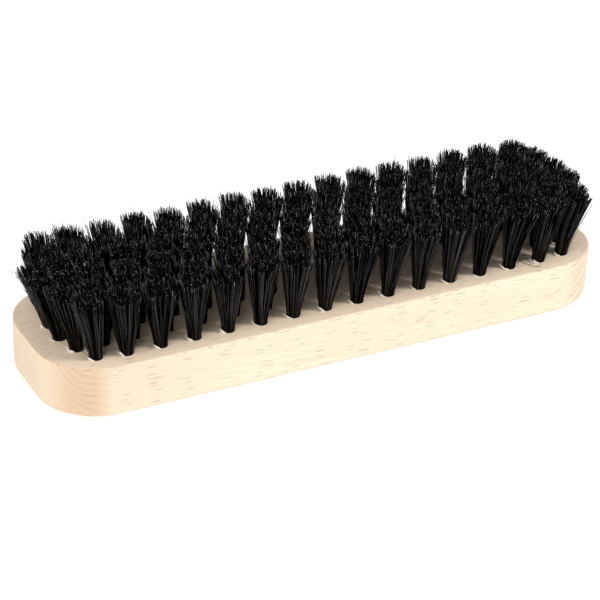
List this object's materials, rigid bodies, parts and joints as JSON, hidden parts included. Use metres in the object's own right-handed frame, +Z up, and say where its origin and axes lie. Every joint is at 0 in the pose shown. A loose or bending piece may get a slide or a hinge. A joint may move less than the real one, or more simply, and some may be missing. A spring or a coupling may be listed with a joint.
{
  "type": "clothes brush",
  "caption": "Hand brush with a solid beech block, rounded at its corners, and rows of black bristle tufts set in blind holes.",
  "frame": {"origin": "centre of the block's flat back, which is the face that the brush rests on", "axes": "+X along the block's length, +Y across its width, +Z up from the back towards the bristle tips"},
  "size_m": [0.2, 0.056, 0.0385],
  "materials": {
    "beech": "matte",
    "bristle": "satin",
    "anchor_wire": "satin"
  },
  "bodies": {
    "root": {"block": "beech", "tufts_left_end": "bristle", "tuft_column_01": "bristle", "tuft_column_02": "bristle", "tuft_column_03": "bristle", "tuft_column_04": "bristle", "tuft_column_05": "bristle", "tuft_column_06": "bristle", "tuft_column_07": "bristle", "tuft_column_08": "bristle", "tuft_column_09": "bristle", "tuft_column_10": "bristle", "tuft_column_11": "bristle", "tuft_column_12": "bristle", "tuft_column_13": "bristle", "tuft_column_14": "bristle", "tufts_right_end": "bristle", "anchor_01": "anchor_wire", "anchor_02": "anchor_wire", "anchor_03": "anchor_wire", "anchor_04": "anchor_wire", "anchor_05": "anchor_wire", "anchor_06": "anchor_wire", "anchor_07": "anchor_wire", "anchor_08": "anchor_wire", "anchor_09": "anchor_wire", "anchor_10": "anchor_wire", "anchor_11": "anchor_wire", "anchor_12": "anchor_wire", "anchor_13": "anchor_wire", "anchor_14": "anchor_wire", "anchor_15": "anchor_wire", "anchor_16": "anchor_wire", "anchor_17": "anchor_wire", "anchor_18": "anchor_wire", "anchor_19": "anchor_wire", "anchor_20": "anchor_wire", "anchor_21": "anchor_wire", "anchor_22": "anchor_wire", "anchor_23": "anchor_wire", "anchor_24": "anchor_wire", "anchor_25": "anchor_wire", "anchor_26": "anchor_wire", "anchor_27": "anchor_wire", "anchor_28": "anchor_wire", "anchor_29": "anchor_wire", "anchor_30": "anchor_wire", "anchor_31": "anchor_wire", "anchor_32": "anchor_wire", "anchor_33": "anchor_wire", "anchor_34": "anchor_wire", "anchor_35": "anchor_wire", "anchor_36": "anchor_wire", "anchor_37": "anchor_wire", "anchor_38": "anchor_wire", "anchor_39": "anchor_wire", "anchor_40": "anchor_wire"}
  },
  "joints": []
}
